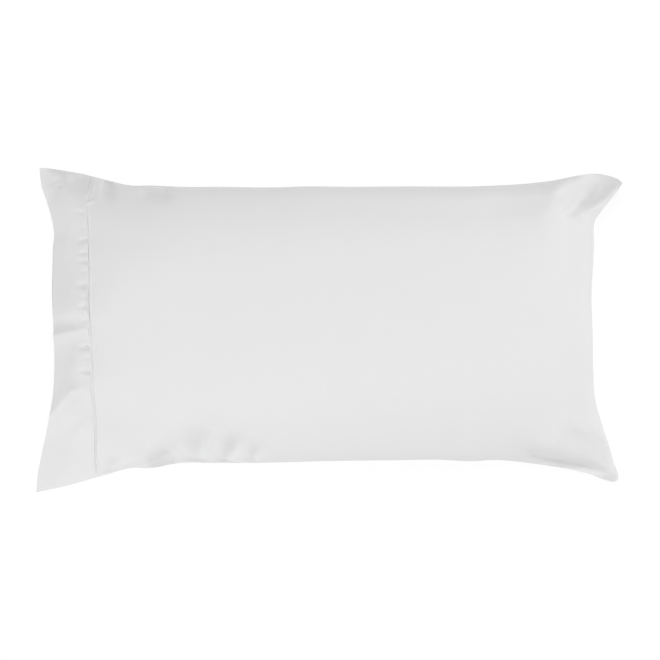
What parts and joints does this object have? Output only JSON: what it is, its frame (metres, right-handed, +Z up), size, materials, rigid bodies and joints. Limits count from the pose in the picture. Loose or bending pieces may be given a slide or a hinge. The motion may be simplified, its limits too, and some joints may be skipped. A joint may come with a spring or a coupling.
{
  "type": "pillowcase",
  "caption": "Long white cotton pillowcase over a plump pillow, lying flat, with a deep stitched hem at its open end and soft pointed corners.",
  "frame": {"origin": "on the surface that the pillow rests on, under the middle of its bounding box", "axes": "+X along the length, from the open hemmed end to the closed end; +Y across the width; +Z up, out of the crowned upper face"},
  "size_m": [0.9102, 0.5046, 0.1516],
  "materials": {
    "cotton": "closely woven plain white cotton, matt with a very soft sheen"
  },
  "bodies": {
    "root": {"pillowcase": "cotton"}
  },
  "joints": []
}
